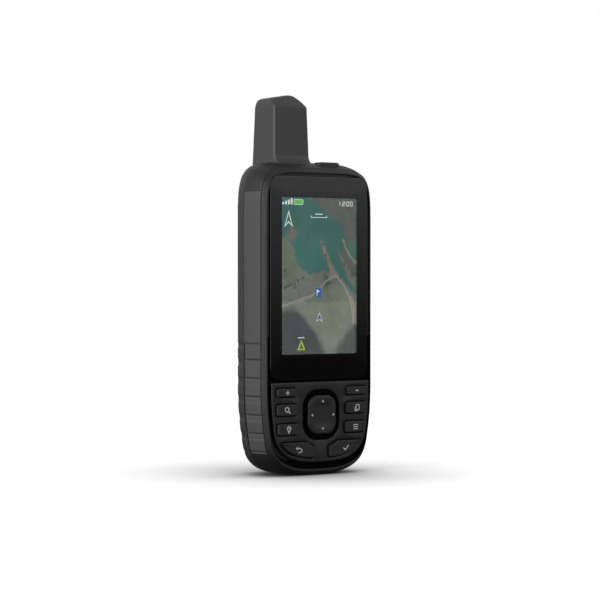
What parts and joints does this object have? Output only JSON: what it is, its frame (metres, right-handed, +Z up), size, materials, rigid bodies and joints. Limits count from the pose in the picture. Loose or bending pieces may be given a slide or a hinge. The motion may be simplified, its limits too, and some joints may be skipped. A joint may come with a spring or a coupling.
{
  "type": "handheld satellite navigator",
  "caption": "Handheld satellite navigator with a stub antenna, tall colour display, four-way rocker, keys and a battery door with a ring latch.",
  "frame": {"origin": "bottom centre of the object", "axes": "+X to the right seen from the front, +Y to the back, +Z up along the antenna"},
  "size_m": [0.062, 0.035, 0.163],
  "materials": {
    "body_plastic": "fine moulded grain, near black",
    "rear_plastic": "fine moulded grain, black",
    "grip_rubber": "soft-touch overmould, dark grey",
    "black_rubber": "matt black",
    "seal_rubber": "silicone cord",
    "window": "clear centre, black printed border",
    "display": "lit colour map picture",
    "keypad_plastic": "satin black",
    "key_rubber": "satin black with white printed marks",
    "silicone": "translucent grey silicone",
    "antenna_plastic": "fine moulded grain, dark grey",
    "steel": "satin steel",
    "board": "green solder mask",
    "tin": "tinned steel",
    "flex": "amber film",
    "copper": "copper foil",
    "ceramic": "matt ceramic",
    "gold": "gold plated",
    "cell_wrap": "printed cell sleeve, plain",
    "black_plastic": "plain black"
  },
  "bodies": {
    "body": {"front_housing": "body_plastic", "rear_housing": "rear_plastic", "side_grip_left": "grip_rubber", "side_grip_right": "grip_rubber", "edge_strips": "black_rubber", "housing_seal": "seal_rubber", "housing_screws": "steel", "window_glass": "window", "window_gasket": "black_rubber", "display_panel": "display", "display_frame": "tin", "display_flex": "flex", "keypad_deck": "keypad_plastic", "keypad_mat": "silicone", "rocker_cradle": "black_plastic", "dome_switches": "tin", "main_board": "board", "shield_cans": "tin", "buzzer": "black_plastic", "power_switch": "tin", "antenna_housing": "antenna_plastic", "antenna_core": "ceramic", "antenna_helix": "copper", "antenna_board": "board", "antenna_lead": "black_plastic", "port_board": "board", "usb_socket": "tin", "antenna_jack": "gold", "mounting_spine": "black_plastic", "card_socket": "tin", "memory_card": "black_plastic", "cover_seal": "seal_rubber", "battery_cell_left": "cell_wrap", "battery_cell_right": "cell_wrap", "battery_springs": "tin", "battery_contacts": "tin"},
    "zoom_in": {"zoom_in_key": "key_rubber"},
    "zoom_out": {"zoom_out_key": "key_rubber"},
    "find": {"find_key": "key_rubber"},
    "page": {"page_key": "key_rubber"},
    "mark": {"mark_key": "key_rubber"},
    "menu": {"menu_key": "key_rubber"},
    "quit": {"quit_key": "key_rubber"},
    "enter": {"enter_key": "key_rubber"},
    "pivot": {"rocker_pivot": "steel"},
    "rocker": {"rocker_pad": "key_rubber"},
    "power": {"power_button": "key_rubber"},
    "door": {"battery_cover": "rear_plastic"},
    "latch": {"latch_stud": "steel"},
    "ring": {"d_ring": "steel"},
    "usb_flap": {"usb_cap": "black_rubber"},
    "jack_flap": {"jack_cap": "black_rubber"}
  },
  "joints": [
    {"name": "zoom_in_press", "type": "slide", "parent": "body", "child": "zoom_in", "axis": [0, 1, 0], "range_m": [0, 0.0006], "stiffness_N_per_m": 800},
    {"name": "zoom_out_press", "type": "slide", "parent": "body", "child": "zoom_out", "axis": [0, 1, 0], "range_m": [0, 0.0006], "stiffness_N_per_m": 800},
    {"name": "find_press", "type": "slide", "parent": "body", "child": "find", "axis": [0, 1, 0], "range_m": [0, 0.0006], "stiffness_N_per_m": 800},
    {"name": "page_press", "type": "slide", "parent": "body", "child": "page", "axis": [0, 1, 0], "range_m": [0, 0.0006], "stiffness_N_per_m": 800},
    {"name": "mark_press", "type": "slide", "parent": "body", "child": "mark", "axis": [0, 1, 0], "range_m": [0, 0.0006], "stiffness_N_per_m": 800},
    {"name": "menu_press", "type": "slide", "parent": "body", "child": "menu", "axis": [0, 1, 0], "range_m": [0, 0.0006], "stiffness_N_per_m": 800},
    {"name": "quit_press", "type": "slide", "parent": "body", "child": "quit", "axis": [0, 1, 0], "range_m": [0, 0.0006], "stiffness_N_per_m": 800},
    {"name": "enter_press", "type": "slide", "parent": "body", "child": "enter", "axis": [0, 1, 0], "range_m": [0, 0.0006], "stiffness_N_per_m": 800},
    {"name": "rocker_up_down", "type": "hinge", "parent": "body", "child": "pivot", "pos_m": [0, -0.0112, 0.0258], "axis": [1, 0, 0], "range_deg": [-4, 4], "stiffness_Nm_per_rad": 0.2},
    {"name": "rocker_left_right", "type": "hinge", "parent": "pivot", "child": "rocker", "pos_m": [0, -0.0112, 0.0258], "axis": [0, 0, 1], "range_deg": [-4, 4], "stiffness_Nm_per_rad": 0.2},
    {"name": "power_press", "type": "slide", "parent": "body", "child": "power", "axis": [0, 0, -1], "range_m": [0, 0.0006], "stiffness_N_per_m": 800},
    {"name": "door_slide", "type": "slide", "parent": "body", "child": "door", "axis": [0, 1, 0], "range_m": [0, 0.03]},
    {"name": "latch_turn", "type": "hinge", "parent": "door", "child": "latch", "pos_m": [0, 0.015, 0.082], "axis": [0, 1, 0], "range_deg": [0, 90]},
    {"name": "ring_flip", "type": "hinge", "parent": "latch", "child": "ring", "pos_m": [0, 0.0163, 0.082], "axis": [1, 0, 0], "range_deg": [0, 100]},
    {"name": "usb_flap_swing", "type": "hinge", "parent": "body", "child": "usb_flap", "pos_m": [0.0156, 0.0142, 0.108], "axis": [0, 0, -1], "range_deg": [0, 100]},
    {"name": "jack_flap_swing", "type": "hinge", "parent": "body", "child": "jack_flap", "pos_m": [-0.0156, 0.0142, 0.109], "axis": [0, 0, 1], "range_deg": [0, 100]}
  ]
}
